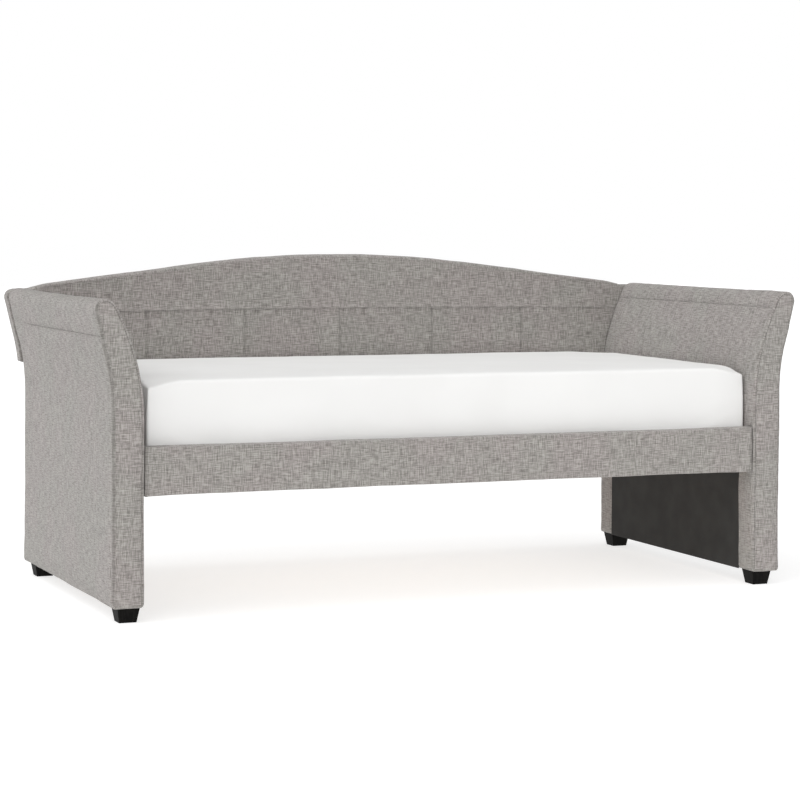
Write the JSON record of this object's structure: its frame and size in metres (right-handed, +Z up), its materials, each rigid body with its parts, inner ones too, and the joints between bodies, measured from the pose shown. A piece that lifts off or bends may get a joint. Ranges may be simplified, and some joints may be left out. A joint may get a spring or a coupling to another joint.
{
  "type": "daybed",
  "caption": "Upholstered daybed with flared arms, an arched back panel and a padded front rail around a slatted base with a loose mattress; open underneath.",
  "frame": {"origin": "on the floor, in the middle of the bed's footprint", "axes": "+X along the bed to the right, +Y from the open front to the back panel, +Z up"},
  "size_m": [2.2126, 1.076, 0.998],
  "materials": {
    "linen": "heathered linen weave, matt",
    "foam": "open-cell foam",
    "dust_fabric": "black non-woven",
    "mattress_fabric": "smooth white knit",
    "stained_wood": "near-black stain, satin",
    "frame_wood": "planed, unfinished",
    "pine": "planed pine, unfinished",
    "webbing": "woven webbing",
    "zinc": "zinc plated",
    "bracket_steel": "black powder coat"
  },
  "bodies": {
    "daybed": {"back_bolts": "zinc", "back_bottom_rail": "frame_wood", "back_centre_stile": "frame_wood", "back_cover": "linen", "back_crest_board": "frame_wood", "back_left_stile": "frame_wood", "back_outside_panel": "linen", "back_padding": "foam", "back_right_stile": "frame_wood", "foot_bolts": "zinc", "foot_tee_nuts": "zinc", "front_ledger": "pine", "front_rail_board": "frame_wood", "front_rail_cover": "linen", "front_rail_padding": "foam", "front_slat_strap": "webbing", "left_arm_bottom_rail": "frame_wood", "left_arm_cover": "linen", "left_arm_dust_cover": "dust_fabric", "left_arm_front_board": "frame_wood", "left_arm_middle_rail": "frame_wood", "left_arm_outer_board": "frame_wood", "left_arm_padding": "foam", "left_arm_rear_board": "frame_wood", "left_arm_top_rail": "frame_wood", "left_front_foot": "stained_wood", "left_rear_foot": "stained_wood", "rail_bolt_nuts": "zinc", "rail_bolts": "zinc", "rail_brackets": "bracket_steel", "rear_ledger": "pine", "rear_slat_strap": "webbing", "right_arm_bottom_rail": "frame_wood", "right_arm_cover": "linen", "right_arm_dust_cover": "dust_fabric", "right_arm_front_board": "frame_wood", "right_arm_middle_rail": "frame_wood", "right_arm_outer_board": "frame_wood", "right_arm_padding": "foam", "right_arm_rear_board": "frame_wood", "right_arm_top_rail": "frame_wood", "right_front_foot": "stained_wood", "right_rear_foot": "stained_wood", "slat_01": "pine", "slat_02": "pine", "slat_03": "pine", "slat_04": "pine", "slat_05": "pine", "slat_06": "pine", "slat_07": "pine", "slat_08": "pine", "slat_09": "pine", "slat_10": "pine", "slat_11": "pine", "slat_12": "pine", "slat_13": "pine"},
    "mattress": {"mattress_comfort_layer": "foam", "mattress_core": "foam", "mattress_cover": "mattress_fabric"}
  },
  "joints": [
    {"name": "mattress_lift", "type": "slide", "parent": "daybed", "child": "mattress", "axis": [0, 0, 1], "range_m": [0, 0.45]}
  ]
}
